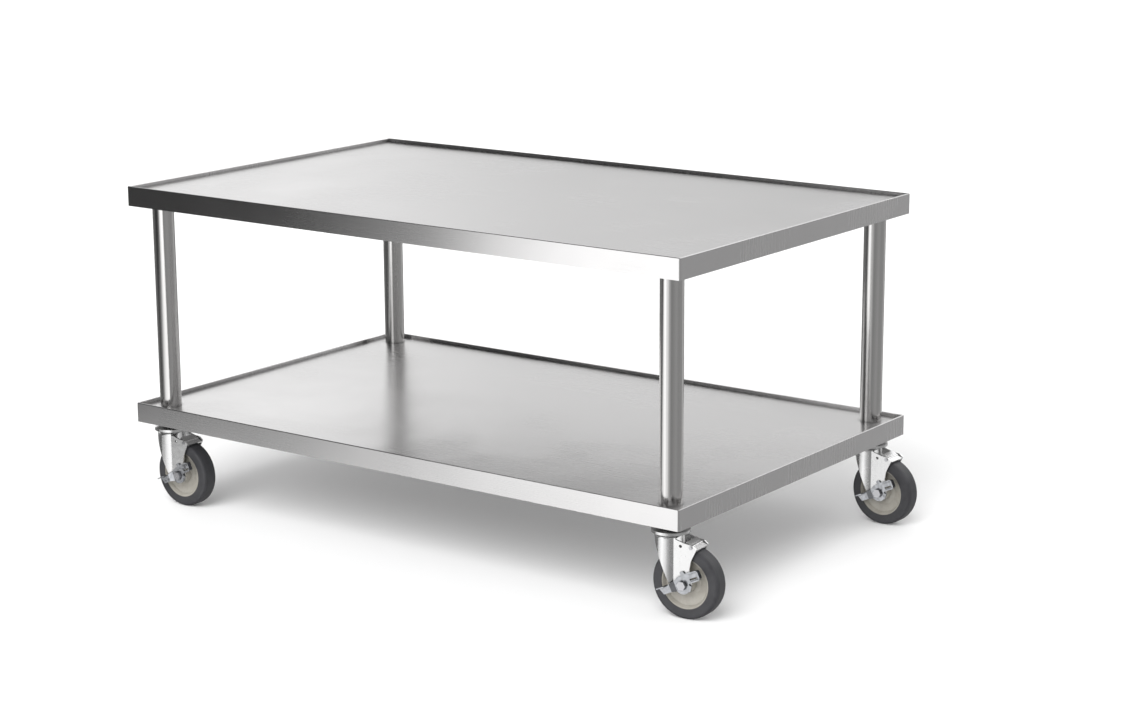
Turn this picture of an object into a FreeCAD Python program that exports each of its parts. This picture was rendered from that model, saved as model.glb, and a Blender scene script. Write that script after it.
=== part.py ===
import FreeCAD, Part
import os
import re
import Sketcher

# A mobile stainless work table: two folded sheet trays, the worktop and the shelf, held apart by
# four round posts, on four stem casters that swivel, roll and carry a side-lever brake.
# Frame: origin on the floor under the middle of the trays, +X along the table, +Y to the back,
# +Z up, in millimetres.

# ---------------------------------------------------------------- driving dimensions

SIZES = {
    # the two trays
    "table_length": 1270.0,
    "table_width": 774.7,
    "sheet_gauge": 2.0,
    "tray_depth": 38.1,
    "rim_width": 4.0,
    "rim_round": 1.6,
    "recess_depth": 7.5,
    "corner_radius": 3.0,
    "return_flange": 12.0,
    "worktop_height": 630.0,
    "shelf_height": 203.0,
    # the posts and what holds their upper ends
    "post_inset": 47.0,
    "post_diameter": 41.3,
    "post_wall": 1.5,
    "socket_diameter": 50.0,
    "socket_height": 22.0,
    "socket_gap": 0.1,
    "set_screw_diameter": 8.0,
    "set_screw_length": 8.0,
    "set_screw_key": 4.0,
    # the channels under each tray
    "channel_width": 64.0,
    "channel_gauge": 2.5,
    "channel_end_gap": 2.0,
    "channel_drop": 1.5,
    "channel_access": 12.0,
    # the caster stem and what it clamps: washer, channel, spacer, shelf and the post's end plug
    "stem_diameter": 12.0,
    "stem_reach": 20.0,
    "stem_hole_gap": 0.5,
    "stem_collar": 27.0,
    "stem_collar_height": 5.0,
    "washer_diameter": 25.0,
    "washer_height": 1.6,
    "spacer_diameter": 32.0,
    "plug_gap": 0.05,
    "plug_height": 25.0,
    "thread_gap": 0.05,
    # swivel head
    "cap_radius": 33.5,
    "cap_crown": 24.0,
    "cap_shoulder": 152.5,
    "cap_bottom": 147.6,
    "cap_wall": 3.0,
    "cap_seat": 152.0,
    "rivet_diameter": 20.0,
    "rivet_height": 4.0,
    "running_gap": 0.1,
    "swivel_gap": 0.3,
    "ball_diameter": 8.0,
    "ball_ring": 16.5,
    "ball_height": 150.0,
    "ball_count": 12.0,
    # fork
    "fork_gauge": 3.0,
    "fork_width": 44.0,
    "fork_nose": 28.0,
    "fork_reach": 64.0,
    "crown_top": 146.0,
    "crown_gauge": 3.5,
    "crown_round": 6.0,
    "crown_back": 21.0,
    "race_top": 148.2,
    "race_radius": 22.5,
    "race_rim": 21.5,
    "race_bore": 10.0,
    "nose_high": 139.5,
    "nose_high_at": -22.3,
    "nose_foot_at": 10.5,
    "cheek_front": 141.0,
    "cheek_middle": 136.4,
    "cheek_middle_at": 38.0,
    "cheek_shoulder": 134.2,
    "cheek_shoulder_at": 54.0,
    "cheek_rear": 128.5,
    "cheek_rear_at": 61.0,
    "cheek_hollow": 107.0,
    "cheek_hollow_at": 50.5,
    "cheek_waist": 92.0,
    "cheek_waist_at": 47.6,
    "cheek_toe_rise": 6.0,
    "cheek_toe_relief": 0.3,
    "leg_round": 16.0,
    "window_diameter": 5.6,
    "window_at": 30.5,
    "window_height": 130.6,
    # wheel and axle
    "trail": 36.0,
    "wheel_diameter": 127.0,
    "tread_width": 32.6,
    "tread_crown": 1.2,
    "tread_round": 6.0,
    "tyre_inner": 90.0,
    "seat_gap": 0.05,
    "rim_face": 30.6,
    "rim_land": 1.9,
    "dish_depth": 6.5,
    "dish_radius": 39.5,
    "web_radius": 26.0,
    "web_thickness": 11.0,
    "web_swell": 2.0,
    "hub_diameter": 29.0,
    "hub_length": 36.0,
    "hub_root": 18.0,
    "hub_round": 1.0,
    "axle_diameter": 9.5,
    "axle_hex": 14.3,
    "axle_head": 5.5,
    "axle_nut": 8.0,
    "axle_spare": 2.0,
    "sleeve_diameter": 15.0,
    "sleeve_end_gap": 0.1,
    # brake lever, in line with its two arms
    "lever_gauge": 2.5,
    "lever_slope": 24.8,
    "lever_eye": 16.0,
    "claw_low": 15.0,
    "claw_at": 10.0,
    "claw_rise": 7.5,
    "tab_start": 4.0,
    "tab_end": 11.0,
    "tab_high": 22.0,
    "tab_foot": 15.0,
    "pedal_bend": 13.6,
    "pedal_bend_low": 7.5,
    "pedal_bend_high": 11.5,
    "pedal_step": 21.6,
    "pedal_jog": 5.0,
    "pedal_low": 5.0,
    "pedal_high": 9.3,
    "pedal_end": 37.5,
    "pedal_tip": 43.5,
    "pedal_lip": 9.0,
    "pedal_lip_gauge": 1.8,
    "pedal_lip_start": 24.0,
    "pedal_lip_slant": 4.0,
    "pedal_lip_corner": 3.0,
    "release_start": 12.0,
    "release_flange_gap": 2.0,
    "release_end": 41.0,
    "release_low": 0.8,
    "release_high": 17.5,
    "release_flange": 6.0,
    "release_gauge": 2.2,
    "release_corner": 5.0,
    "release_slot_start": 18.0,
    "release_slot_end": 33.0,
    "release_slot_low": 3.4,
    "release_slot_high": 6.4,
    "claw_notch": 5.0,
    "claw_notch_at": 15.5,
    # brake shoe, in line with its sloping plate
    "shoe_pin_at": 50.0,
    "shoe_pin_height": 130.5,
    "shoe_pin_diameter": 4.0,
    "shoe_pin_head": 6.0,
    "shoe_pin_head_height": 1.5,
    "shoe_slope": 27.4,
    "shoe_width": 36.6,
    "shoe_gauge": 2.5,
    "shoe_front": 13.0,
    "shoe_rear": 9.0,
    "shoe_lip": 1.2,
    "shoe_barrel": 6.4,
    # how far a cutting outline runs past the metal
    "cut_past": 10.0,
}

# where each caster stands, as signs of the post positions, and which way it trails, in degrees
CASTERS = {
    "front_left": (-1, -1, 0.5),
    "front_right": (1, -1, 5.0),
    "back_left": (-1, 1, 1.0),
    "back_right": (1, 1, -2.5),
}

# across a hexagon's flats, divided by the distance from its centre to a corner
FLATS_PER_CORNER = 3 ** 0.5
# the least Z of an upright unit direction, and how near two coordinates are when they agree
UPRIGHT = 0.999
AGREES = 0.01

POST_X = "(table_length / 2 - post_inset)"
POST_Y = "(table_width / 2 - post_inset)"
AXLE_HEIGHT = "(wheel_diameter / 2)"
CHEEK_OUT = "(fork_width / 2)"
CHEEK_IN = "(fork_width / 2 - fork_gauge)"
UNDER_CHANNEL = "(shelf_height - tray_depth - channel_drop)"
CHANNEL_FLOOR = "(shelf_height - tray_depth - channel_drop + channel_gauge)"
COLLAR_BOTTOM = "(shelf_height - tray_depth - channel_drop - washer_height - stem_collar_height)"
CROWN_UNDER = "(crown_top - crown_gauge)"
UNDER_SHELF = "(shelf_height - recess_depth - sheet_gauge)"
UNDER_WORKTOP = "(worktop_height - recess_depth - sheet_gauge)"
POST_FOOT = "(shelf_height - recess_depth)"
POST_HEAD = "(worktop_height - recess_depth - sheet_gauge - channel_gauge)"
STEM_HOLE = "(stem_diameter + 2 * stem_hole_gap)"
LEVER_IN = "(fork_width / 2 + swivel_gap)"
LEVER_OUT = "(fork_width / 2 + swivel_gap + lever_gauge)"

# ---------------------------------------------------------------- the document and its sheet

doc = FreeCAD.newDocument("work_table")
sheet = doc.addObject("Spreadsheet::Sheet", "sizes")
for row, (alias, number) in enumerate(SIZES.items(), start=1):
    sheet.set(f"A{row}", alias)
    sheet.set(f"B{row}", str(number))
    sheet.setAlias(f"B{row}", alias)
doc.recompute()

nodes = []


def formula(text):
    """A formula in plain names, as FreeCAD reads it: each name of the sheet gets the sheet's name."""

    def named(match):
        word = match.group(0)
        return f"sizes.{word}" if word in SIZES else word

    return re.sub(r"[A-Za-z_]\w*", named, str(text))


def value(text):
    """The number that a formula gives now."""
    number = sheet.evalExpression(formula(text))
    return float(getattr(number, "Value", number))


def bind(thing, **formulas):
    """Binds properties of an object to formulas of the sheet."""
    for name, text in formulas.items():
        thing.setExpression(name, formula(text))
    return thing


# ---------------------------------------------------------------- sketches and features


def body(label):
    """A new PartDesign body, one sub-part."""
    made = doc.addObject("PartDesign::Body", label)
    made.Label = label
    nodes.append(made)
    return made


def sketch(owner, plane, offset="0"):
    """An empty sketch on one of the body's origin planes, moved along the plane's normal."""
    made = owner.newObject("Sketcher::SketchObject", "outline")
    support = [feature for feature in owner.Origin.OriginFeatures if feature.Role == plane]
    made.AttachmentSupport = [(support[0], "")]
    made.MapMode = "FlatFace"
    made.setExpression(".AttachmentOffset.Base.z", formula(offset))
    return made


def constrain(drawn, kind, geometry, point, text):
    """Holds one point of a sketch at a bound distance from the sketch's origin."""
    index = drawn.addConstraint(Sketcher.Constraint(kind, -1, 1, geometry, point, value(text)))
    drawn.setExpression(f"Constraints[{index}]", formula(text))


def add_polygon(drawn, points):
    """A closed outline of straight sides through bound points."""
    first = drawn.GeometryCount
    places = [FreeCAD.Vector(value(across), value(up), 0) for across, up in points]
    for start, end in zip(places, places[1:] + places[:1]):
        drawn.addGeometry(Part.LineSegment(start, end), False)
    for index in range(len(points)):
        following = first + (index + 1) % len(points)
        drawn.addConstraint(Sketcher.Constraint("Coincident", first + index, 2, following, 1))
    for index, (across, up) in enumerate(points):
        constrain(drawn, "DistanceX", first + index, 1, across)
        constrain(drawn, "DistanceY", first + index, 1, up)
    return drawn


def add_rectangle(drawn, left, right, low, high):
    """An upright rectangle between bound limits."""
    return add_polygon(drawn, [(left, low), (right, low), (right, high), (left, high)])


def add_centred_rectangle(drawn, across, up):
    """A rectangle of bound size about the sketch's origin."""
    return add_rectangle(drawn, f"-({across}) / 2", f"({across}) / 2", f"-({up}) / 2", f"({up}) / 2")


def add_circle(drawn, across, up, diameter):
    """A circle of bound diameter about a bound centre."""
    centre = FreeCAD.Vector(value(across), value(up), 0)
    circle = Part.Circle(centre, FreeCAD.Vector(0, 0, 1), value(diameter) / 2)
    index = drawn.addGeometry(circle, False)
    size = drawn.addConstraint(Sketcher.Constraint("Diameter", index, value(diameter)))
    drawn.setExpression(f"Constraints[{size}]", formula(diameter))
    constrain(drawn, "DistanceX", index, 3, across)
    constrain(drawn, "DistanceY", index, 3, up)
    return drawn


def pad(owner, drawn, length, both=False):
    """Adds material from a sketch along its normal, or to both sides of it."""
    made = owner.newObject("PartDesign::Pad", "pad")
    made.Profile = drawn
    made.SideType = "Symmetric" if both else "One side"
    return bind(made, Length=length)


def pocket(owner, drawn, length, both=False, forward=False):
    """Removes material from a sketch: against its normal, along it, or to both sides."""
    made = owner.newObject("PartDesign::Pocket", "pocket")
    made.Profile = drawn
    made.SideType = "Symmetric" if both else "One side"
    made.Reversed = forward
    return bind(made, Length=length)


def turn(owner, drawn, kind="PartDesign::Revolution"):
    """A full turn of a sketch about its upright axis, adding or cutting."""
    made = owner.newObject(kind, "turn")
    made.Profile = drawn
    made.ReferenceAxis = (drawn, ["V_Axis"])
    made.Angle = 360
    return made


def round_edges(owner, radius, chosen):
    """Rounds the edges of the body's last feature that a test picks."""
    doc.recompute()
    before = owner.Tip
    names = [f"Edge{index}" for index, edge in enumerate(before.Shape.Edges, start=1) if chosen(edge)]
    made = owner.newObject("PartDesign::Fillet", "rounding")
    made.Base = (before, names)
    return bind(made, Radius=radius)


def is_upright(edge):
    """True for a straight edge along Z."""
    if edge.Curve.TypeId != "Part::GeomLine":
        return False
    return abs(edge.Curve.Direction.z) > UPRIGHT


def lies_at(edge, height):
    """True for an edge that lies flat at one height."""
    box = edge.BoundBox
    return abs(box.ZMin - height) < AGREES and abs(box.ZMax - height) < AGREES


def reaches(edge, across):
    """True for an edge whose greatest X is the one given."""
    return abs(edge.BoundBox.XMax - across) < AGREES


def crosses_at(edge, across):
    """True for an edge that runs along Y at one X."""
    box = edge.BoundBox
    return reaches(edge, across) and box.XMax - box.XMin < AGREES and box.ZMax - box.ZMin < AGREES


# ---------------------------------------------------------------- groups of equal pieces


def primitive(kind, place, **formulas):
    """A bound Part primitive at a fixed place."""
    made = doc.addObject(kind, "primitive")
    bind(made, **formulas)
    made.Placement = place
    return made


def joined(kind, base, tool):
    """A Part boolean of two objects."""
    made = doc.addObject(kind, "boolean")
    made.Base = base
    made.Tool = tool
    return made


def group(label, members):
    """Separate solids that share one node."""
    made = doc.addObject("Part::Compound", label)
    made.Links = members
    made.Label = label
    nodes.append(made)
    return made


def place_at(across, along, up, axis=(0, 0, 1), degrees=0.0):
    """A placement from three formulas and a turn about an axis."""
    spot = FreeCAD.Vector(value(across), value(along), value(up))
    return FreeCAD.Placement(spot, FreeCAD.Rotation(FreeCAD.Vector(*axis), degrees))


def post_places(up):
    """The placements on the four post axes, at one height."""
    spots = []
    for side, end, heading in CASTERS.values():
        spots.append(place_at(f"{side} * {POST_X}", f"{end} * {POST_Y}", up))
    return spots


def moved(place, across=0.0, along=0.0, up=0.0):
    """The same placement, shifted in its own directions."""
    return place.multiply(FreeCAD.Placement(FreeCAD.Vector(across, along, up), FreeCAD.Rotation()))


# ---------------------------------------------------------------- trays, posts and channels


def tray(label, height):
    """A folded sheet tray: raised rim, recessed floor, straight apron and a return flange below."""
    made = body(label)
    block = sketch(made, "XY_Plane", "-tray_depth")
    add_centred_rectangle(block, "table_length", "table_width")
    pad(made, block, "tray_depth")
    round_edges(made, "corner_radius", is_upright)
    recess = sketch(made, "XY_Plane")
    add_centred_rectangle(recess, "table_length - 2 * rim_width", "table_width - 2 * rim_width")
    pocket(made, recess, "recess_depth")
    hollow = sketch(made, "XY_Plane", "-tray_depth")
    add_centred_rectangle(hollow, "table_length - 2 * sheet_gauge", "table_width - 2 * sheet_gauge")
    pocket(made, hollow, "tray_depth - recess_depth - sheet_gauge", forward=True)
    flange = sketch(made, "XY_Plane", "-tray_depth")
    add_centred_rectangle(flange, "table_length - sheet_gauge", "table_width - sheet_gauge")
    inward = "2 * (sheet_gauge + return_flange)"
    add_centred_rectangle(flange, f"table_length - {inward}", f"table_width - {inward}")
    pad(made, flange, "sheet_gauge")
    round_edges(made, "rim_round", lambda edge: lies_at(edge, 0.0))
    bind(made, **{".Placement.Base.z": height})
    return made


def shelf_tray():
    """The shelf: a tray with a hole under each post for the caster's stem."""
    made = tray("shelf_tray", "shelf_height")
    holes = sketch(made, "XY_Plane")
    for side, end, heading in CASTERS.values():
        add_circle(holes, f"{side} * {POST_X}", f"{end} * {POST_Y}", STEM_HOLE)
    pocket(made, holes, "tray_depth")


def posts():
    """Four round tubes between the shelf's floor and the channels under the worktop."""
    for name, (side, end, heading) in CASTERS.items():
        made = body(f"leg_{name}")
        ring = sketch(made, "XY_Plane")
        add_circle(ring, "0", "0", "post_diameter")
        add_circle(ring, "0", "0", "post_diameter - 2 * post_wall")
        pad(made, ring, f"{POST_HEAD} - {POST_FOOT}")
        spot = {".Placement.Base.x": f"{side} * {POST_X}", ".Placement.Base.y": f"{end} * {POST_Y}"}
        bind(made, **spot, **{".Placement.Base.z": POST_FOOT})


def channel(label, side, height, upside_down):
    """A folded channel across the table, its web outward from the tray and its walls on the tray."""
    made = body(label)
    half = "channel_width / 2"
    inside = "(channel_width / 2 - channel_gauge)"
    walls = f"({UNDER_SHELF} - {UNDER_CHANNEL})"
    section = sketch(made, "XZ_Plane")
    corners = [(f"-{half}", "0"), (half, "0"), (half, walls), (inside, walls), (inside, "channel_gauge")]
    corners += [(f"-{inside}", "channel_gauge"), (f"-{inside}", walls), (f"-{half}", walls)]
    add_polygon(section, corners)
    length = "table_width - 2 * (sheet_gauge + return_flange + channel_end_gap)"
    pad(made, section, length, both=True)
    for end in (-1, 1):
        if upside_down:
            hole = sketch(made, "YZ_Plane")
            add_circle(hole, f"{end} * {POST_Y}", "channel_gauge + socket_height / 2", "channel_access")
            pocket(made, hole, "channel_width", forward=True)
        else:
            hole = sketch(made, "XY_Plane")
            add_circle(hole, "0", f"{end} * {POST_Y}", STEM_HOLE)
            pocket(made, hole, "channel_gauge", forward=True)
    made.Placement = place_at(f"{side} * {POST_X}", "0", height)
    if upside_down:
        inward = place_at("0", "0", "0", (0, 0, 1), 90 - 90 * side)
        over = place_at("0", "0", "0", (0, 1, 0), 180)
        made.Placement = made.Placement.multiply(inward).multiply(over)


def tube(place, outer, inner, height):
    """A plain tube from two bound radii and a bound height."""
    solid = primitive("Part::Cylinder", place, Radius=outer, Height=height)
    bore = primitive("Part::Cylinder", place, Radius=inner, Height=height)
    return joined("Part::Cut", solid, bore)


def post_sockets():
    """The sockets that take the posts' upper ends, each with a set screw from the table's inside."""
    rings = []
    screws = []
    bore = "post_diameter / 2 + socket_gap"
    for (side, end, heading), spot in zip(CASTERS.values(), post_places(f"{POST_HEAD} - socket_height")):
        ring = tube(spot, "socket_diameter / 2", bore, "socket_height")
        inward = spot.multiply(place_at("0", "0", "socket_height / 2", (0, 1, 0), -90 * side))
        thread = "set_screw_diameter / 2 + thread_gap"
        hole = primitive("Part::Cylinder", inward, Radius=thread, Height="socket_diameter")
        rings.append(joined("Part::Cut", ring, hole))
        seat = moved(inward, up=value(bore))
        screw = primitive("Part::Cylinder", seat, Radius="set_screw_diameter / 2")
        bind(screw, Height="set_screw_length")
        mouth = moved(seat, up=value("set_screw_length / 2"))
        key = primitive("Part::Prism", mouth, Circumradius="set_screw_key / 2", Height="set_screw_length")
        screws.append(joined("Part::Cut", screw, key))
    group("leg_sockets", rings)
    group("socket_set_screws", screws)


def stem_rings(label, up, outer, inner, height):
    """Four equal rings on the caster stems, at one height, as one node."""
    group(label, [tube(spot, outer, inner, height) for spot in post_places(up)])


def stem_fixings():
    """What the caster stems pass through: lock washers, channel spacers and the posts' end plugs."""
    hole = f"{STEM_HOLE} / 2"
    washers_at = f"{UNDER_CHANNEL} - washer_height"
    stem_rings("stem_lock_washers", washers_at, "washer_diameter / 2", hole, "washer_height")
    spacer_height = f"{UNDER_SHELF} - {CHANNEL_FLOOR}"
    stem_rings("stem_spacers", CHANNEL_FLOOR, "spacer_diameter / 2", hole, spacer_height)
    thread = "stem_diameter / 2 + thread_gap"
    plug_radius = "post_diameter / 2 - post_wall - plug_gap"
    stem_rings("leg_end_plugs", POST_FOOT, plug_radius, thread, "plug_height")


# ---------------------------------------------------------------- one caster

# Each caster is modelled about its swivel axis with the floor at Z = 0 and the wheel trailing to
# +X. Its brake lever is on the -Y side.


def swivel_cap(label, base):
    """The pressed cap over the swivel, with the upper ball groove in its seat."""
    made = body(label)
    skirt = "(cap_radius - cap_wall)"
    profile = [("0", COLLAR_BOTTOM), ("cap_crown", COLLAR_BOTTOM), ("cap_radius", "cap_shoulder")]
    profile += [("cap_radius", "cap_bottom"), (skirt, "cap_bottom"), (skirt, "cap_seat"), ("0", "cap_seat")]
    turn(made, add_polygon(sketch(made, "XZ_Plane"), profile))
    groove = sketch(made, "XZ_Plane")
    add_circle(groove, "ball_ring", "ball_height", "ball_diameter + 2 * swivel_gap")
    turn(made, groove, "PartDesign::Groove")
    bore = sketch(made, "XY_Plane", COLLAR_BOTTOM)
    add_circle(bore, "0", "0", "stem_diameter + 2 * thread_gap")
    pocket(made, bore, f"{COLLAR_BOTTOM} - cap_bottom")
    made.Placement = base


def caster_stem(label, base):
    """The stem: threaded into the post above its hex collar, and the swivel's rivet below it."""
    rivet_top = f"({CROWN_UNDER} - swivel_gap)"
    foot = base.multiply(place_at("0", "0", f"{rivet_top} - rivet_height"))
    length = f"{POST_FOOT} + stem_reach - {rivet_top} + rivet_height"
    shank = primitive("Part::Cylinder", foot, Radius="stem_diameter / 2", Height=length)
    rivet = primitive("Part::Cone", foot, Radius1="rivet_diameter / 3", Radius2="rivet_diameter / 2")
    bind(rivet, Height="rivet_height")
    seat = base.multiply(place_at("0", "0", COLLAR_BOTTOM))
    corner = f"stem_collar / {FLATS_PER_CORNER}"
    collar = primitive("Part::Prism", seat, Circumradius=corner, Height="stem_collar_height")
    group(label, [joined("Part::Fuse", joined("Part::Fuse", shank, collar), rivet)])


def swivel_balls(label, swivel):
    """The ring of balls between the cap and the fork's race."""
    balls = []
    count = int(value("ball_count"))
    for index in range(count):
        around = place_at("0", "0", "ball_height", (0, 0, 1), 360.0 * index / count)
        place = moved(swivel.multiply(around), across=value("ball_ring"))
        balls.append(primitive("Part::Sphere", place, Radius="ball_diameter / 2"))
    group(label, balls)


def fork(label, swivel):
    """The pressed fork: round nose, flat cheeks, crown with its race, and cheeks cut to a taper."""
    made = body(label)
    nose = sketch(made, "XY_Plane", AXLE_HEIGHT)
    pad(made, add_circle(nose, "0", "0", "2 * fork_nose"), f"crown_top - {AXLE_HEIGHT}")
    cheeks = sketch(made, "XY_Plane", AXLE_HEIGHT)
    add_rectangle(cheeks, "0", "fork_reach", f"-{CHEEK_OUT}", CHEEK_OUT)
    pad(made, cheeks, f"crown_top - {AXLE_HEIGHT}")
    round_edges(made, "crown_round", lambda edge: lies_at(edge, value("crown_top")))
    ends = sketch(made, "XZ_Plane")
    pad(made, add_circle(ends, "trail", AXLE_HEIGHT, "2 * leg_round"), "fork_width", both=True)
    inner_nose = sketch(made, "XY_Plane", "0")
    add_circle(inner_nose, "0", "0", "2 * (fork_nose - fork_gauge)")
    pocket(made, inner_nose, CROWN_UNDER, forward=True)
    between = sketch(made, "XY_Plane", "0")
    add_rectangle(between, "0", "fork_reach + cut_past", f"-{CHEEK_IN}", CHEEK_IN)
    pocket(made, between, CROWN_UNDER, forward=True)
    front = sketch(made, "XZ_Plane")
    ahead = "-(fork_nose + cut_past)"
    edge = [(ahead, "nose_high"), ("nose_high_at", "nose_high"), ("nose_foot_at", AXLE_HEIGHT)]
    pocket(made, add_polygon(front, edge + [(ahead, AXLE_HEIGHT)]), "2 * fork_width", both=True)
    rear = sketch(made, "XZ_Plane")
    toe = "(trail + leg_round + cheek_toe_relief)"
    edge = [("crown_back", "crown_top + cut_past"), ("crown_back", "cheek_front")]
    edge += [("cheek_middle_at", "cheek_middle"), ("cheek_shoulder_at", "cheek_shoulder")]
    edge += [("cheek_rear_at", "cheek_rear"), ("cheek_hollow_at", "cheek_hollow")]
    edge += [("cheek_waist_at", "cheek_waist")]
    edge += [(toe, f"{AXLE_HEIGHT} + cheek_toe_rise"), (toe, f"{AXLE_HEIGHT} - leg_round")]
    edge += [("fork_reach + cut_past", f"{AXLE_HEIGHT} - leg_round")]
    edge += [("fork_reach + cut_past", "crown_top + cut_past")]
    pocket(made, add_polygon(rear, edge), "2 * fork_width", both=True)
    holes = sketch(made, "XZ_Plane")
    add_circle(holes, "trail", AXLE_HEIGHT, "axle_diameter + thread_gap")
    add_circle(holes, "shoe_pin_at", "shoe_pin_height", "shoe_pin_diameter + thread_gap")
    add_circle(holes, "window_at", "window_height", "window_diameter")
    pocket(made, holes, "2 * fork_width", both=True)
    race = sketch(made, "XZ_Plane")
    low = "(crown_top - crown_gauge / 2)"
    profile = [("race_bore", low), ("race_radius", low), ("race_radius", "crown_top")]
    profile += [("race_rim", "race_top"), ("race_bore", "race_top")]
    turn(made, add_polygon(race, profile))
    groove = sketch(made, "XZ_Plane")
    add_circle(groove, "ball_ring", "ball_height", "ball_diameter + 2 * thread_gap")
    turn(made, groove, "PartDesign::Groove")
    bore = sketch(made, "XY_Plane", "race_top + cut_past")
    pocket(made, add_circle(bore, "0", "0", "stem_diameter + 2 * running_gap"), "race_top")
    made.Placement = swivel


def axle(label, swivel):
    """The axle bolt, its head outside the brake lever, and the nut on the far cheek."""
    head_in = f"({LEVER_OUT} + swivel_gap)"
    long = f"{head_in} + fork_width / 2 + axle_nut + axle_spare"
    along = swivel.multiply(place_at("trail", f"-{head_in}", AXLE_HEIGHT, (1, 0, 0), -90))
    shank = primitive("Part::Cylinder", along, Radius="axle_diameter / 2", Height=long)
    corner = f"axle_hex / {FLATS_PER_CORNER}"
    head_place = moved(along, up=-value("axle_head"))
    head = primitive("Part::Prism", head_place, Circumradius=corner, Height="axle_head")
    nut_place = swivel.multiply(place_at("trail", CHEEK_OUT, AXLE_HEIGHT, (1, 0, 0), -90))
    nut = primitive("Part::Prism", nut_place, Circumradius=corner, Height="axle_nut")
    bore = "axle_diameter / 2 + thread_gap"
    hole = primitive("Part::Cylinder", nut_place, Radius=bore, Height="axle_nut")
    group(label, [joined("Part::Fuse", shank, head), joined("Part::Cut", nut, hole)])


def axle_sleeve(label, swivel):
    """The spacer tube that the fork clamps and the wheel turns on."""
    made = body(label)
    ring = sketch(made, "XZ_Plane")
    add_circle(ring, "0", "0", "sleeve_diameter")
    add_circle(ring, "0", "0", "axle_diameter + 2 * thread_gap")
    pad(made, ring, f"2 * {CHEEK_IN} - 2 * sleeve_end_gap", both=True)
    made.Placement = swivel.multiply(place_at("trail", "0", AXLE_HEIGHT))


def wheel_core(label, swivel):
    """The wheel's core: hub, dished web and the land that carries the tyre."""
    made = body(label)
    half = [("sleeve_diameter / 2 + running_gap", "hub_length / 2")]
    half += [("hub_diameter / 2", "hub_length / 2")]
    half += [("hub_root", "web_thickness / 2 + web_swell"), ("web_radius", "web_thickness / 2")]
    half += [("dish_radius", "rim_face / 2 - dish_depth")]
    half += [("tyre_inner / 2 - rim_land", "rim_face / 2"), ("tyre_inner / 2 - seat_gap", "rim_face / 2")]
    mirrored = [(across, f"-({up})") for across, up in reversed(half)]
    turn(made, add_polygon(sketch(made, "XZ_Plane"), half + mirrored))
    face = value("hub_length / 2")
    rim = value("hub_diameter / 2")
    round_edges(made, "hub_round", lambda edge: lies_at(edge, face) and reaches(edge, rim))
    made.Placement = swivel.multiply(place_at("trail", "0", AXLE_HEIGHT, (1, 0, 0), 90))


def tyre(label, swivel):
    """The round-shouldered tyre on the core's land."""
    made = body(label)
    profile = sketch(made, "XZ_Plane")
    half = "tread_width / 2"
    shoulder = "(wheel_diameter / 2 - tread_crown)"
    across = [("tyre_inner / 2", f"-{half}"), (shoulder, f"-{half}")]
    across += [("wheel_diameter / 2", f"-{half} / 2")]
    across += [("wheel_diameter / 2", f"{half} / 2"), (shoulder, half), ("tyre_inner / 2", half)]
    turn(made, add_polygon(profile, across))
    outer = value(shoulder)
    round_edges(made, "tread_round", lambda edge: reaches(edge, outer) and not is_upright(edge))
    made.Placement = swivel.multiply(place_at("trail", "0", AXLE_HEIGHT, (1, 0, 0), 90))


def lever_web(made):
    """The lever's flat web: the eye on the axle, the claw below and the release arm's floor."""
    eye = sketch(made, "XZ_Plane", LEVER_IN)
    pad(made, add_circle(eye, "0", "0", "2 * lever_eye"), "lever_gauge")
    web = sketch(made, "XZ_Plane", LEVER_IN)
    outline = [("-pedal_bend", "-pedal_bend_low"), ("claw_at", "-claw_low"), ("lever_eye", "-claw_rise")]
    outline += [("lever_eye", "-release_low"), ("release_end", "-release_low")]
    outline += [("release_end", "release_high"), ("release_start", "release_high")]
    outline += [("tab_end", "tab_high"), ("tab_start", "tab_high"), ("tab_start", "tab_foot")]
    outline += [("-pedal_bend", "pedal_bend_high")]
    pad(made, add_polygon(web, outline), "lever_gauge")


def lever_pedal(made):
    """The pedal arm: stepped outward, tapered, with a lip bent outward along its upper edge."""
    inner = f"({LEVER_IN} + pedal_jog)"
    outer = f"({LEVER_OUT} + pedal_jog)"
    step = sketch(made, "XY_Plane", "-pedal_bend_low")
    bend = [("-pedal_bend", f"-{LEVER_OUT}"), ("-pedal_bend", f"-{LEVER_IN}")]
    bend += [("-pedal_step", f"-{inner}"), ("-pedal_tip", f"-{inner}")]
    bend += [("-pedal_tip", f"-{outer}"), ("-pedal_step", f"-{outer}")]
    pad(made, add_polygon(step, bend), "pedal_bend_low + pedal_bend_high")
    beyond = "-(pedal_tip + cut_past)"
    above = [("-pedal_bend", "pedal_bend_high"), ("-pedal_step", "pedal_high"), (beyond, "pedal_high")]
    above += [(beyond, "pedal_bend_high + cut_past"), ("-pedal_bend", "pedal_bend_high + cut_past")]
    below = [("-pedal_bend", "-pedal_bend_low"), ("-pedal_step", "-pedal_low")]
    below += [("-pedal_end", "-pedal_low")]
    below += [("-pedal_tip", "pedal_high"), (beyond, "pedal_high")]
    below += [(beyond, "-pedal_bend_low - cut_past"), ("-pedal_bend", "-pedal_bend_low - cut_past")]
    for outline in (above, below):
        pocket(made, add_polygon(sketch(made, "XZ_Plane"), outline), "4 * fork_width", both=True)
    lip = sketch(made, "XY_Plane", "pedal_high - pedal_lip_gauge")
    edge = f"-({outer} + pedal_lip)"
    flat = [("-pedal_lip_start", f"-{inner}"), ("-pedal_end - pedal_lip_corner", f"-{inner}")]
    flat += [("-pedal_tip", edge), ("-pedal_lip_start - pedal_lip_slant", edge)]
    pad(made, add_polygon(lip, flat), "pedal_lip_gauge")


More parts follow.
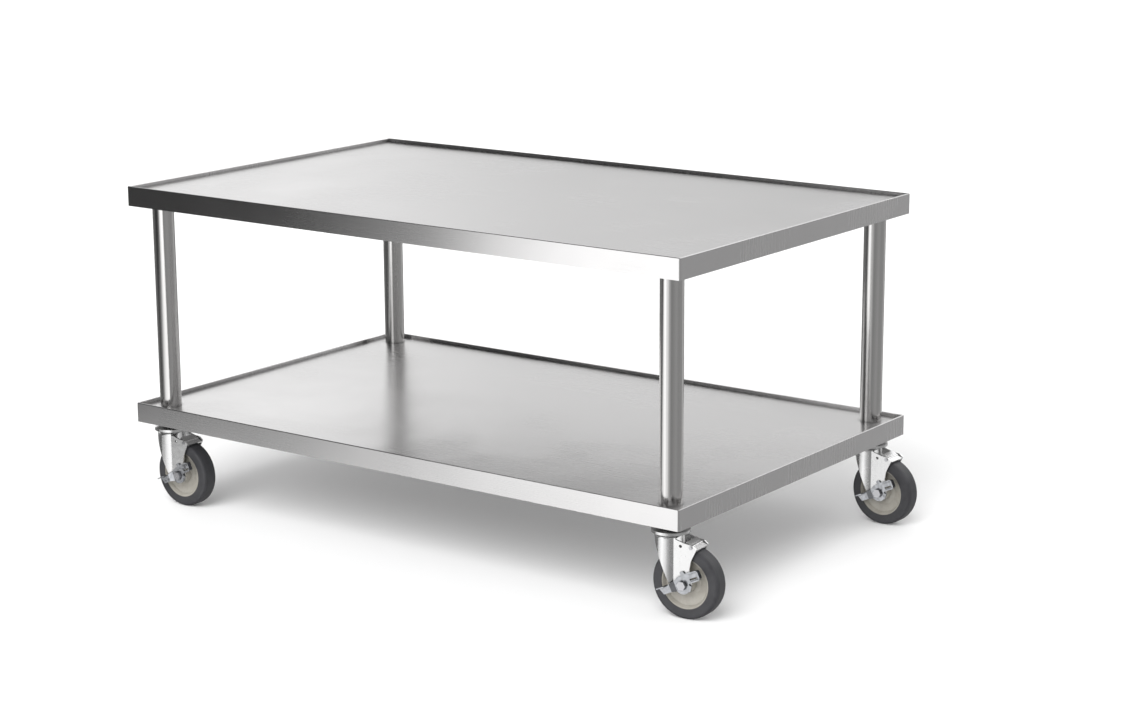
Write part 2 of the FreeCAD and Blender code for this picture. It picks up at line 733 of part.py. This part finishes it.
def lever_release(made):
    """The release arm's flanges, bent outward along three sides, and the slot in its floor."""
    low_flange = ("-release_low", "-release_low + release_gauge")
    high_flange = ("release_high - release_gauge", "release_high")
    for low, high in (low_flange, high_flange):
        flange = sketch(made, "XZ_Plane", LEVER_OUT)
        add_rectangle(flange, "lever_eye + release_flange_gap", "release_end", low, high)
        pad(made, flange, "release_flange")
    end = sketch(made, "XZ_Plane", LEVER_OUT)
    add_rectangle(end, "release_end - release_gauge", "release_end", "-release_low", "release_high")
    pad(made, end, "release_flange")
    reach = value("release_end")
    round_edges(made, "release_corner", lambda edge: crosses_at(edge, reach))
    slot = sketch(made, "XZ_Plane")
    add_rectangle(slot, "release_slot_start", "release_slot_end", "release_slot_low", "release_slot_high")
    pocket(made, slot, "4 * fork_width", both=True)


def brake_lever(label, swivel):
    """The rocking brake lever on the axle: eye, stepped pedal arm and channelled release arm."""
    made = body(label)
    lever_web(made)
    lever_pedal(made)
    lever_release(made)
    holes = sketch(made, "XZ_Plane")
    add_circle(holes, "0", "0", "axle_diameter + 2 * running_gap")
    add_circle(holes, "claw_notch_at", "-release_low - claw_notch / 2", "claw_notch")
    pocket(made, holes, "4 * fork_width", both=True)
    place = place_at("trail", "0", AXLE_HEIGHT, (0, 1, 0), -value("lever_slope"))
    made.Placement = swivel.multiply(place)


def brake_shoe(label, swivel):
    """The sloping brake plate above the tyre, its barrel and the lip that grips the tread."""
    made = body(label)
    barrel = sketch(made, "XZ_Plane")
    pad(made, add_circle(barrel, "0", "0", "shoe_barrel"), "shoe_width", both=True)
    plate = sketch(made, "XZ_Plane")
    lip = "(shoe_rear + shoe_gauge)"
    outline = [("-shoe_front", "0"), ("shoe_rear", "0"), ("shoe_rear", "-shoe_lip"), (lip, "-shoe_lip")]
    outline += [(lip, "shoe_gauge"), ("-shoe_front", "shoe_gauge")]
    pad(made, add_polygon(plate, outline), "shoe_width", both=True)
    bore = sketch(made, "XZ_Plane")
    add_circle(bore, "0", "0", "shoe_pin_diameter + 2 * running_gap")
    pocket(made, bore, "2 * shoe_width", both=True)
    place = place_at("shoe_pin_at", "0", "shoe_pin_height", (0, 1, 0), value("shoe_slope"))
    made.Placement = swivel.multiply(place)


def shoe_pin(label, swivel):
    """The headed pin through both cheeks that the brake shoe turns on."""
    made = body(label)
    shank = sketch(made, "XZ_Plane", f"-{CHEEK_OUT}")
    pad(made, add_circle(shank, "0", "0", "shoe_pin_diameter"), "fork_width")
    for offset in (CHEEK_OUT, f"-{CHEEK_OUT} - shoe_pin_head_height"):
        head = sketch(made, "XZ_Plane", offset)
        pad(made, add_circle(head, "0", "0", "shoe_pin_head"), "shoe_pin_head_height")
    made.Placement = swivel.multiply(place_at("shoe_pin_at", "0", "shoe_pin_height"))


def caster(name, side, end, heading):
    """Every piece of one caster, about its post's axis."""
    base = place_at(f"{side} * {POST_X}", f"{end} * {POST_Y}", "0")
    swivel = place_at(f"{side} * {POST_X}", f"{end} * {POST_Y}", "0", (0, 0, 1), heading)
    swivel_cap(f"swivel_cap_{name}", base)
    caster_stem(f"caster_stem_{name}", base)
    swivel_balls(f"swivel_balls_{name}", swivel)
    fork(f"fork_{name}", swivel)
    axle(f"axle_bolt_{name}", swivel)
    axle_sleeve(f"axle_sleeve_{name}", swivel)
    wheel_core(f"wheel_core_{name}", swivel)
    tyre(f"tyre_{name}", swivel)
    brake_lever(f"brake_lever_{name}", swivel)
    brake_shoe(f"brake_shoe_{name}", swivel)
    shoe_pin(f"shoe_pin_{name}", swivel)


# ---------------------------------------------------------------- the whole table

tray("top_tray", "worktop_height")
shelf_tray()
posts()
channel("shelf_channel_left", -1, UNDER_CHANNEL, upside_down=False)
channel("shelf_channel_right", 1, UNDER_CHANNEL, upside_down=False)
channel("top_channel_left", -1, UNDER_WORKTOP, upside_down=True)
channel("top_channel_right", 1, UNDER_WORKTOP, upside_down=True)
post_sockets()
stem_fixings()
for name, (side, end, heading) in CASTERS.items():
    caster(name, side, end, heading)

doc.recompute()
failed = [thing.Name for thing in doc.Objects if "Invalid" in thing.State or "Error" in thing.State]
if failed:
    raise SystemExit(f"these objects failed: {failed}")

os.makedirs("parts", exist_ok=True)
for node in nodes:
    shape = node.Shape
    if shape.isNull() or not shape.isValid() or not shape.Solids:
        raise SystemExit(f"{node.Label} has no valid solid")
    shape.exportStep(f"parts/{node.Label}.step")
print(f"{len(nodes)} nodes written")
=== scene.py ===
"""The mobile stainless work table: finishes, small edge bevels, a pale floor and studio light."""
import math

import bpy
from mathutils import Matrix, Vector

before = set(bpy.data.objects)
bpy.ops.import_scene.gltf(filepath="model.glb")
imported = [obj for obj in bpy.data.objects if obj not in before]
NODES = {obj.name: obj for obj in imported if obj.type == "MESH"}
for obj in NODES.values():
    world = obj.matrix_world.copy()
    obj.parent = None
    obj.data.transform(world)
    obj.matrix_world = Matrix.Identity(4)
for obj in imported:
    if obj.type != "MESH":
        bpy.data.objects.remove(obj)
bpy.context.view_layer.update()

X, Y, Z = range(3)


# ---------------------------------------------------------------- node helpers


class Tree:
    """A node tree that is wired by short calls."""

    def __init__(self, owner):
        self.nodes = owner.node_tree.nodes
        self.links = owner.node_tree.links
        self.nodes.clear()

    def add(self, kind, **settings):
        """A new node; settings are its properties."""
        made = self.nodes.new(kind)
        for name, setting in settings.items():
            setattr(made, name, setting)
        return made

    def join(self, source, target):
        """Wires an output to an input, or writes a plain value to it."""
        if isinstance(source, bpy.types.NodeSocket):
            self.links.new(source, target)
        else:
            target.default_value = source

    def math(self, operation, first, second=0.0, clamp=False):
        """One operation on one or two values."""
        made = self.add("ShaderNodeMath", operation=operation, use_clamp=clamp)
        self.join(first, made.inputs[0])
        self.join(second, made.inputs[1])
        return made.outputs[0]

    def scaled(self, vector, factors):
        """A vector multiplied by three factors."""
        made = self.add("ShaderNodeVectorMath", operation="MULTIPLY")
        self.join(vector, made.inputs[0])
        self.join(factors, made.inputs[1])
        return made.outputs[0]

    def noise(self, vector, scale, detail=3.0, rough=0.5, distortion=0.0):
        """Noise of a scale in cycles per metre."""
        made = self.add("ShaderNodeTexNoise")
        self.join(vector, made.inputs["Vector"])
        made.inputs["Scale"].default_value = scale
        made.inputs["Detail"].default_value = detail
        made.inputs["Roughness"].default_value = rough
        made.inputs["Distortion"].default_value = distortion
        return made.outputs["Fac"]

    def spread(self, value, low, high, to_low=0.0, to_high=1.0):
        """Maps one range of values to another."""
        made = self.add("ShaderNodeMapRange")
        self.join(value, made.inputs[0])
        for index, number in enumerate((low, high, to_low, to_high), start=1):
            made.inputs[index].default_value = number
        return made.outputs[0]

    def ramp(self, value, stops, interpolation="LINEAR"):
        """A colour ramp; each stop is (position, grey or colour)."""
        made = self.add("ShaderNodeValToRGB")
        made.color_ramp.interpolation = interpolation
        elements = made.color_ramp.elements
        while len(elements) < len(stops):
            elements.new(0.5)
        for element, (position, colour) in zip(elements, stops):
            element.position = position
            grey = isinstance(colour, (int, float))
            element.color = (colour, colour, colour, 1) if grey else (*colour, 1)
        self.join(value, made.inputs[0])
        return made.outputs[0]

    def mix(self, factor, first, second):
        """Mixes two colours."""
        made = self.add("ShaderNodeMix", data_type="RGBA")
        self.join(factor, made.inputs[0])
        for colour, target in ((first, made.inputs[6]), (second, made.inputs[7])):
            plain = isinstance(colour, tuple) and len(colour) == 3
            self.join((*colour, 1) if plain else colour, target)
        return made.outputs[2]

    def bump(self, height, strength, distance, normal=None):
        """A normal bent by a height; the distance is in metres."""
        made = self.add("ShaderNodeBump")
        made.inputs["Strength"].default_value = strength
        made.inputs["Distance"].default_value = distance
        self.join(height, made.inputs["Height"])
        if normal is not None:
            self.join(normal, made.inputs["Normal"])
        return made.outputs[0]


def new_material(name):
    """A material with a Principled shader wired to its output: (material, tree, shader)."""
    made = bpy.data.materials.new(name)
    made.use_nodes = True
    tree = Tree(made)
    shader = tree.add("ShaderNodeBsdfPrincipled")
    output = tree.add("ShaderNodeOutputMaterial")
    tree.join(shader.outputs[0], output.inputs[0])
    return made, tree, shader


def object_place(tree):
    """The place on the object, in metres."""
    return tree.add("ShaderNodeTexCoord").outputs["Object"]


def shade(colour, factor):
    """A colour made darker or lighter, no channel over 1."""
    return tuple(min(1.0, channel * factor) for channel in colour)


# ---------------------------------------------------------------- finishes

# the grain's noise is this much slower along the grain than across it
GRAIN_LENGTH = 0.008
# a face looks along an axis when its unit normal has at least this much of it
FACING = 0.7
# noise lies mostly between these two values
NOISE_LOW, NOISE_HIGH = 0.3, 0.7


def brushed(name, along, tint=(0.715, 0.708, 0.708), rough=0.24, anisotropy=0.75, seed=0.0):
    """Stainless steel brushed along one axis: fine streaks, faint clouding, rare longer scratches, and
    painted shade in gaps and inner corners.
    """
    material, tree, shader = new_material(name)
    shifted = tree.add("ShaderNodeVectorMath", operation="ADD")
    tree.join(object_place(tree), shifted.inputs[0])
    shifted.inputs[1].default_value = (seed, seed, seed)
    place = shifted.outputs[0]
    grain_place = tree.scaled(place, grain_stretch(tree, along))
    grain = tree.noise(grain_place, scale=1700.0, detail=2.0, rough=0.6)
    coarse = tree.noise(grain_place, scale=520.0, detail=2.0)
    clouds = tree.noise(place, scale=3.2, detail=4.0, rough=0.55, distortion=0.4)
    scratches = tree.ramp(tree.noise(grain_place, scale=330.0, detail=1.0), [(0.72, 0.0), (0.78, 1.0)])
    fine_streak = tree.spread(grain, NOISE_LOW, NOISE_HIGH, -0.5, 0.5)
    wide_streak = tree.spread(coarse, NOISE_LOW, NOISE_HIGH, -0.12, 0.12)
    streak = tree.math("ADD", fine_streak, wide_streak)
    bright = tree.math("ADD", tree.math("MULTIPLY", streak, 0.3), 0.5, clamp=True)
    colour = tree.mix(bright, shade(tint, 0.93), shade(tint, 1.05))
    colour = tree.mix(tree.spread(clouds, 0.35, NOISE_HIGH, 0.0, 0.2), colour, shade(tint, 0.93))
    # painted shade: the colour falls to 0.4 of the tint deep in gaps and inner corners
    colour = tree.mix(painted_gap_shade(tree, reach=0.012), shade(tint, 0.4), colour)
    tree.join(colour, shader.inputs["Base Color"])
    roughness = tree.math("ADD", tree.math("MULTIPLY", streak, 0.04), rough)
    roughness = tree.math("ADD", roughness, tree.spread(clouds, NOISE_LOW, NOISE_HIGH, -0.03, 0.05))
    roughness = tree.math("SUBTRACT", roughness, tree.math("MULTIPLY", scratches, 0.02))
    tree.join(roughness, shader.inputs["Roughness"])
    shader.inputs["Metallic"].default_value = 1.0
    shader.inputs["Anisotropic"].default_value = anisotropy
    height = tree.math("ADD", tree.math("MULTIPLY", streak, 0.6), tree.math("MULTIPLY", scratches, 0.12))
    tree.join(tree.bump(height, strength=0.03, distance=0.0002), shader.inputs["Normal"])
    tree.join(across_grain(tree, along), shader.inputs["Tangent"])
    return material


def facing(tree, axis):
    """1 where a face looks along one axis, either way, and 0 elsewhere."""
    normal = tree.add("ShaderNodeSeparateXYZ")
    tree.join(tree.add("ShaderNodeNewGeometry").outputs["True Normal"], normal.inputs[0])
    return tree.math("GREATER_THAN", tree.math("ABSOLUTE", normal.outputs[axis]), FACING)


def grain_stretch(tree, along):
    """The noise's scale by axis: long along the grain, which runs down the ends that fold from it."""
    stretch = tree.add("ShaderNodeCombineXYZ")
    for axis in (X, Y, Z):
        stretch.inputs[axis].default_value = GRAIN_LENGTH if axis == along else 1.0
    if along == Z:
        return stretch.outputs[0]
    end = facing(tree, along)
    tree.join(tree.spread(end, 0.0, 1.0, GRAIN_LENGTH, 1.0), stretch.inputs[along])
    tree.join(tree.spread(end, 0.0, 1.0, 1.0, GRAIN_LENGTH), stretch.inputs[Z])
    return stretch.outputs[0]


def across_grain(tree, along):
    """The direction across the grain, in which brushed metal blurs its reflections most."""
    tangent = tree.add("ShaderNodeCombineXYZ")
    if along == Z:
        tangent.inputs[Z].default_value = 1.0
        return tangent.outputs[0]
    level = facing(tree, Z)
    tree.join(level, tangent.inputs[Y if along == X else X])
    tree.join(tree.math("SUBTRACT", 1.0, level), tangent.inputs[Z])
    return tangent.outputs[0]


def painted_gap_shade(tree, reach):
    """A mask for painted shade: near 0 deep in gaps and inner corners, where the colour is painted darker,
    and 1 on open faces.
    """
    open_sky = tree.add("ShaderNodeAmbientOcclusion", samples=6)
    open_sky.inputs["Distance"].default_value = reach
    return tree.spread(open_sky.outputs["AO"], 0.25, 0.85)


def plated(name, tint, rough, wave):
    """Bright zinc plate on pressed steel: slightly cloudy, wavy from the press, with painted shade in its
    gaps.
    """
    material, tree, shader = new_material(name)
    place = object_place(tree)
    clouds = tree.noise(place, scale=55.0, detail=4.0, rough=0.6, distortion=0.6)
    waves = tree.noise(place, scale=95.0, detail=1.0)
    spots = tree.ramp(tree.noise(place, scale=240.0), [(0.62, 0.0), (0.70, 1.0)])
    colour = tree.mix(tree.spread(clouds, NOISE_LOW, NOISE_HIGH), shade(tint, 0.95), tint)
    colour = tree.mix(tree.math("MULTIPLY", spots, 0.12), colour, shade(tint, 0.7))
    # painted shade: the colour falls to 0.22 of the tint deep in gaps and inner corners
    colour = tree.mix(painted_gap_shade(tree, reach=0.006), shade(tint, 0.22), colour)
    tree.join(colour, shader.inputs["Base Color"])
    cloudy = tree.spread(clouds, NOISE_LOW, NOISE_HIGH, rough - 0.04, rough + 0.06)
    tree.join(tree.math("ADD", cloudy, tree.math("MULTIPLY", spots, 0.08)), shader.inputs["Roughness"])
    shader.inputs["Metallic"].default_value = 1.0
    pressed = tree.bump(waves, strength=wave, distance=0.004)
    tree.join(tree.bump(clouds, strength=0.05, distance=0.0003, normal=pressed), shader.inputs["Normal"])
    return material


def moulded_core():
    """The taupe moulded wheel core: satin, slightly mottled, with painted shade in its dish."""
    material, tree, shader = new_material("wheel_core_taupe")
    place = object_place(tree)
    mottle = tree.noise(place, scale=45.0, detail=4.0, rough=0.6, distortion=1.2)
    fine = tree.noise(place, scale=1400.0, detail=2.0)
    dark, light, painted_dish_shade = (0.27, 0.255, 0.225), (0.33, 0.315, 0.28), (0.07, 0.066, 0.058)
    colour = tree.mix(tree.spread(mottle, NOISE_LOW, NOISE_HIGH), dark, light)
    # painted shade: the colour turns near black deep in the dish and its grooves
    tree.join(tree.mix(painted_gap_shade(tree, reach=0.016), painted_dish_shade, colour), shader.inputs["Base Color"])
    tree.join(tree.spread(mottle, NOISE_LOW, NOISE_HIGH, 0.30, 0.42), shader.inputs["Roughness"])
    tree.join(tree.bump(fine, strength=0.15, distance=0.0003), shader.inputs["Normal"])
    return material


def tyre_rubber():
    """Dark grey non-marking rubber: matt, with a dusty bloom and a fine moulded surface."""
    material, tree, shader = new_material("tyre_dark_grey")
    place = object_place(tree)
    bloom = tree.noise(place, scale=30.0, detail=5.0, rough=0.65, distortion=0.8)
    fine = tree.noise(place, scale=1100.0)
    scuffs = tree.ramp(tree.noise(place, scale=160.0, detail=4.0, rough=0.7), [(0.60, 0.0), (0.72, 1.0)])
    clean, dusty, scuffed = (0.024, 0.024, 0.027), (0.042, 0.042, 0.046), (0.08, 0.08, 0.08)
    colour = tree.mix(tree.spread(bloom, NOISE_LOW, 0.75), clean, dusty)
    tree.join(tree.mix(tree.math("MULTIPLY", scuffs, 0.2), colour, scuffed), shader.inputs["Base Color"])
    tree.join(tree.spread(bloom, NOISE_LOW, NOISE_HIGH, 0.38, 0.52), shader.inputs["Roughness"])
    shader.inputs["Specular IOR Level"].default_value = 0.45
    height = tree.math("ADD", fine, tree.math("MULTIPLY", scuffs, 0.4))
    tree.join(tree.bump(height, strength=0.25, distance=0.0003), shader.inputs["Normal"])
    return material


SHEET = brushed("stainless_brushed_along", X)
CHANNEL = brushed("stainless_channel", Y, tint=(0.63, 0.625, 0.625), rough=0.32, seed=2.0)
TUBE = brushed("stainless_tube", Z, tint=(0.67, 0.662, 0.655), rough=0.16, anisotropy=0.3, seed=5.0)
ZINC = plated("zinc_plate", tint=(0.80, 0.80, 0.80), rough=0.24, wave=0.04)
DARK_ZINC = plated("zinc_plate_worn", tint=(0.58, 0.58, 0.60), rough=0.30, wave=0.05)
LEVER_ZINC = plated("zinc_plate_lever", tint=(0.42, 0.43, 0.45), rough=0.17, wave=0.35)
CORE = moulded_core()
TYRE = tyre_rubber()

# the finish of each node by how its name starts, the first that fits; the rest are zinc plated
FINISHES = (
    ("leg_sockets", DARK_ZINC), ("leg_end", DARK_ZINC), ("leg_", TUBE), ("top_tray", SHEET),
    ("shelf_tray", SHEET), ("top_channel", CHANNEL), ("shelf_channel", CHANNEL),
    ("wheel_core", CORE), ("tyre", TYRE), ("brake_lever", LEVER_ZINC), ("axle", DARK_ZINC),
    ("socket", DARK_ZINC), ("stem_", DARK_ZINC), ("shoe_pin", DARK_ZINC),
)
# the bevel on each kind of pressed, turned or moulded piece, in metres
EDGE_WIDTHS = {
    "brake_lever": 0.0005, "fork": 0.0006, "brake_shoe": 0.0004, "axle_bolt": 0.0005,
    "caster_stem": 0.0004, "swivel_cap": 0.0006, "wheel_core": 0.0004,
}
BEVEL_STEPS = 2
SHARP_EDGE = math.radians(50)


def finish_for(name):
    """The finish of a CAD node, from its name."""
    for start, material in FINISHES:
        if name.startswith(start):
            return material
    return ZINC


def soften_edges(name, node):
    """Small bevels on the caster pieces, so that their edges catch the light."""
    for start, width in EDGE_WIDTHS.items():
        if name.startswith(start):
            bevel = node.modifiers.new("edge", "BEVEL")
            bevel.width = width
            bevel.segments = BEVEL_STEPS
            bevel.limit_method = "ANGLE"
            bevel.angle_limit = SHARP_EDGE


for name, node in NODES.items():
    node.data.materials.clear()
    node.data.materials.append(finish_for(name))
    soften_edges(name, node)


# ---------------------------------------------------------------- floor, light and camera

FLOOR_REACH = 40.0
# the reflector card's limits, in metres
CARD_LEFT, CARD_RIGHT, CARD_FRONT, CARD_LOW, CARD_HIGH = -1.9, 0.2, -1.43, -1.2, 0.85
SUN_STRENGTH = 2.4
SUN_SPREAD = math.radians(45)
SUN_FROM = (0.25, -1.0, 1.0)
CAMERA_PLACE = (2.862, -3.745, 1.410)
# the camera's turns about Z, X and its own line of sight, in degrees
CAMERA_TURN, CAMERA_TILT, CAMERA_ROLL = 36.17, 76.73, -0.27
LENS, SENSOR_WIDTH, FAR_CLIP = 80.0, 36.0, 200.0


def sheet_object(name, corners):
    """A flat four-sided object."""
    mesh = bpy.data.meshes.new(name)
    mesh.from_pydata(corners, [], [(0, 1, 2, 3)])
    made = bpy.data.objects.new(name, mesh)
    bpy.context.scene.collection.objects.link(made)
    return made


def studio_floor():
    """A large pale floor; metal reflects the studio's walls in place of it."""
    reach = FLOOR_REACH
    floor = sheet_object("floor", [
        (-reach, -reach, 0), (reach, -reach, 0), (reach, reach, 0), (-reach, reach, 0)])
    material, _, shader = new_material("pale_floor")
    shader.inputs["Base Color"].default_value = (0.93, 0.93, 0.93, 1)
    shader.inputs["Roughness"].default_value = 0.9
    shader.inputs["Specular IOR Level"].default_value = 0.1
    floor.data.materials.append(material)
    floor.visible_glossy = False


def card_light():
    """The card's glow: brighter to the right, with a lighter foot for the casters to reflect."""
    material = bpy.data.materials.new("card_light")
    material.use_nodes = True
    tree = Tree(material)
    split = tree.add("ShaderNodeSeparateXYZ")
    tree.join(object_place(tree), split.inputs[0])
    across = tree.spread(split.outputs[X], CARD_LEFT, CARD_RIGHT)
    height = split.outputs[Z]
    upper = tree.ramp(across, [
        (0.0, 0.03), (0.38, 0.04), (0.53, 0.20), (0.585, 0.44), (0.625, 1.02), (0.68, 1.26), (0.8, 1.65)])
    lower = tree.ramp(across, [(0.1, 0.05), (0.34, 0.28), (0.5, 0.94), (0.64, 1.3), (0.9, 1.5)])
    foot = tree.ramp(across, [(0.0, 0.72), (0.5, 0.90), (0.8, 1.30)])
    light = tree.mix(tree.spread(height, 0.0, 0.3), lower, upper)
    light = tree.mix(tree.spread(height, -0.17, -0.25), light, foot)
    glow = tree.add("ShaderNodeEmission")
    tree.join(light, glow.inputs[0])
    output = tree.add("ShaderNodeOutputMaterial")
    tree.join(glow.outputs[0], output.inputs[0])
    return material


def reflector_card():
    """The tall card in front of the table, which only reflections see."""
    card = sheet_object("reflector_card", [
        (CARD_LEFT, CARD_FRONT, CARD_HIGH), (CARD_RIGHT, CARD_FRONT, CARD_HIGH),
        (CARD_RIGHT, CARD_FRONT, CARD_LOW), (CARD_LEFT, CARD_FRONT, CARD_LOW)])
    card.data.materials.append(card_light())
    card.visible_camera = False
    card.visible_diffuse = False
    card.visible_shadow = False


def front_light():
    """A broad soft light from the front, which lights the floor under the table's front edge."""
    data = bpy.data.lights.new("front_light", "SUN")
    data.energy = SUN_STRENGTH
    data.angle = SUN_SPREAD
    lamp = bpy.data.objects.new("front_light", data)
    lamp.rotation_euler = Vector(SUN_FROM).to_track_quat("Z", "Y").to_euler()
    lamp.visible_glossy = False
    bpy.context.scene.collection.objects.link(lamp)


def wall_ramp(tree, around, walls):
    """The brightness of the studio's walls by the direction, in degrees from +X."""
    return tree.ramp(around, [((angle + 180) / 360, light) for angle, light in walls], "EASE")


def wall_bands(tree, split):
    """What metal reflects: bright and dark walls all round, in three levels of height."""
    turn = tree.math("ARCTAN2", split.outputs[Y], split.outputs[X])
    around = tree.spread(turn, -math.pi, math.pi)
    height = split.outputs[Z]
    upper = wall_ramp(tree, around, [
        (-180, 1.1), (-160, 0.4), (-143, 0.06), (-116, 0.08), (-100, 0.6), (-70, 0.35), (-20, 0.35),
        (20, 0.40), (60, 0.42), (100, 0.55), (118, 0.60), (126, 0.72), (134, 1.15), (160, 1.25), (180, 1.1)])
    lower = wall_ramp(tree, around, [
        (-180, 0.20), (-150, 0.10), (-132, 0.10), (-112, 1.15), (-96, 1.05), (-77, 0.50), (-60, 0.28),
        (-10, 0.36), (12, 0.31), (40, 0.33), (60, 0.35), (72, 0.62), (85, 0.35), (120, 0.24),
        (160, 0.22), (180, 0.20)])
    ceiling = wall_ramp(tree, around, [
        (-180, 0.08), (-130, 0.06), (-60, 0.40), (30, 0.90), (60, 1.70), (100, 1.35), (138, 1.25),
        (156, 0.35), (180, 0.08)])
    walls = tree.mix(tree.spread(height, -0.03, 0.12), lower, upper)
    return tree.mix(tree.spread(height, 0.33, 0.45), walls, ceiling)


def studio_walls():
    """Soft light from all round, brightest low down, and the walls that metal shows as bands."""
    world = bpy.data.worlds.new("studio")
    bpy.context.scene.world = world
    world.use_nodes = True
    tree = Tree(world)
    split = tree.add("ShaderNodeSeparateXYZ")
    tree.join(tree.add("ShaderNodeTexCoord").outputs["Generated"], split.inputs[0])
    reflected = tree.add("ShaderNodeBackground")
    tree.join(wall_bands(tree, split), reflected.inputs[0])
    dome = tree.add("ShaderNodeBackground")
    tree.join(tree.spread(split.outputs[Z], 0.0, 0.6, 3.6, 0.7), dome.inputs[1])
    which = tree.add("ShaderNodeMixShader")
    tree.join(tree.add("ShaderNodeLightPath").outputs["Is Glossy Ray"], which.inputs[0])
    tree.join(dome.outputs[0], which.inputs[1])
    tree.join(reflected.outputs[0], which.inputs[2])
    output = tree.add("ShaderNodeOutputWorld")
    tree.join(which.outputs[0], output.inputs[0])


def photo_camera():
    """The camera in front of the table's right corner, above the worktop."""
    data = bpy.data.cameras.new("camera")
    data.lens = LENS
    data.sensor_width = SENSOR_WIDTH
    data.clip_end = FAR_CLIP
    camera = bpy.data.objects.new("camera", data)
    turn = Matrix.Rotation(math.radians(CAMERA_TURN), 4, "Z")
    tilt = Matrix.Rotation(math.radians(CAMERA_TILT), 4, "X")
    roll = Matrix.Rotation(math.radians(CAMERA_ROLL), 4, "Z")
    camera.matrix_world = Matrix.Translation(CAMERA_PLACE) @ turn @ tilt @ roll
    bpy.context.scene.collection.objects.link(camera)
    bpy.context.scene.camera = camera


studio_floor()
studio_walls()
reflector_card()
front_light()
photo_camera()
bpy.context.scene.view_settings.view_transform = "Standard"
